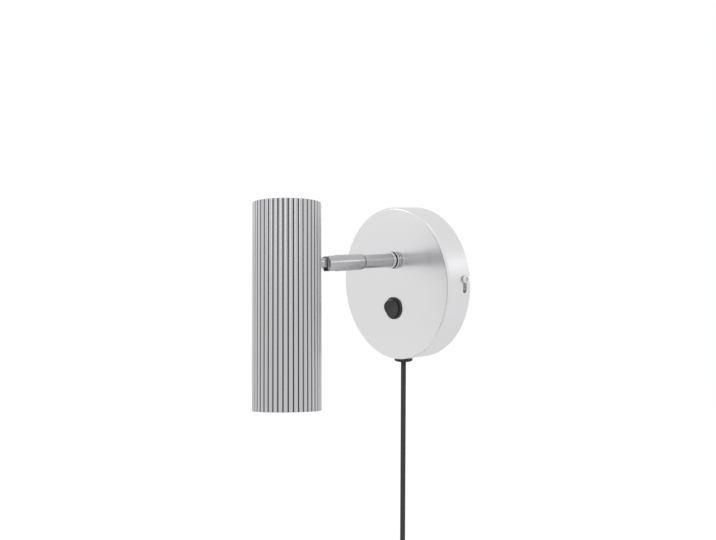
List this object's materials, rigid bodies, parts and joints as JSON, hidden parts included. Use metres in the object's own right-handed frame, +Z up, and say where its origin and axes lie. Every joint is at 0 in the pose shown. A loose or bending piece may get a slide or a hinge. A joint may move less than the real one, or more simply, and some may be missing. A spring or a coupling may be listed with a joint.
{
  "type": "wall light",
  "caption": "Ribbed tube shade on a swivelling, tilting arm from a round wall plate with a rocker switch, side locking screws and a plug-in cord.",
  "frame": {"origin": "centre of the wall plate's back, on the wall", "axes": "+X to the right seen from the room, +Y into the wall, +Z up"},
  "size_m": [0.1498, 0.1973, 0.5076],
  "materials": {
    "shade_aluminium": "brushed lengthways, ribbed",
    "cap_aluminium": "satin",
    "plate_aluminium": "face brushed in circles, rim brushed along its turn",
    "arm_steel": "satin, turned",
    "collar_steel": "polished",
    "screw_steel": "nickel plated",
    "plain_steel": "zinc plated",
    "spring_steel": "oiled",
    "washer_polymer": "smooth",
    "ceramic": "glazed ceramic",
    "lamp_housing": "smooth white",
    "lens": "frosted",
    "pin_nickel": "nickel plated",
    "black_trim": "matt black",
    "black_switch": "satin black",
    "black_gland": "fine grain",
    "black_rubber": "matt",
    "black_plug": "fine grain",
    "cord_textile": "braided textile over a round cord",
    "cord_sheath": "smooth sheath",
    "lead_insulation": "brown and blue insulation",
    "block_polymer": "smooth",
    "insert_brass": "plain"
  },
  "bodies": {
    "wall_base": {"wall_bracket": "plain_steel", "wall_plate": "plate_aluminium", "side_screws": "screw_steel", "arm_collar": "collar_steel", "arm_rod": "arm_steel", "arm_backing_plate": "plain_steel", "arm_lock_washer": "spring_steel", "arm_nut": "plain_steel", "barrel_circlip": "spring_steel", "turn_stop_pin": "spring_steel", "switch_body": "black_switch", "switch_terminals": "pin_nickel", "cord_gland": "black_gland", "gland_nut": "black_gland", "terminal_block": "block_polymer", "terminal_inserts": "insert_brass", "terminal_screws": "screw_steel", "block_screw": "screw_steel", "inner_cord": "cord_sheath", "supply_leads": "lead_insulation", "switch_leads": "lead_insulation", "lamp_leads": "lead_insulation", "mains_cord": "cord_textile", "cord_coil": "cord_textile", "cord_tie": "black_rubber", "plug_boot": "black_rubber", "plug_body": "black_plug", "plug_pins": "pin_nickel"},
    "switch_rocker": {"switch_rocker": "black_switch"},
    "joint_barrel": {"joint_barrel": "arm_steel", "pivot_pins": "arm_steel", "friction_washers": "washer_polymer"},
    "lamp_head": {"knuckle": "arm_steel", "shade_tube": "shade_aluminium", "top_cap": "cap_aluminium", "holder_bracket": "plain_steel", "stud_nut": "plain_steel", "lampholder": "ceramic", "holder_screws": "screw_steel", "lamp_body": "lamp_housing", "lamp_lens": "lens", "lamp_pins": "pin_nickel", "glare_ring": "black_trim", "head_leads": "lead_insulation"}
  },
  "joints": [
    {"name": "swivel", "type": "hinge", "parent": "wall_base", "child": "joint_barrel", "pos_m": [0, -0.085, 0.0225], "axis": [0, 1, 0], "range_deg": [-165, 165]},
    {"name": "tilt", "type": "hinge", "parent": "joint_barrel", "child": "lamp_head", "pos_m": [0, -0.104, 0.0225], "axis": [0.9921, 0, 0.1253], "range_deg": [-84, 40]},
    {"name": "rocker", "type": "hinge", "parent": "wall_base", "child": "switch_rocker", "pos_m": [0, -0.0292, -0.0235], "axis": [0.8192, 0, 0.5736], "range_deg": [-24, 0]}
  ]
}
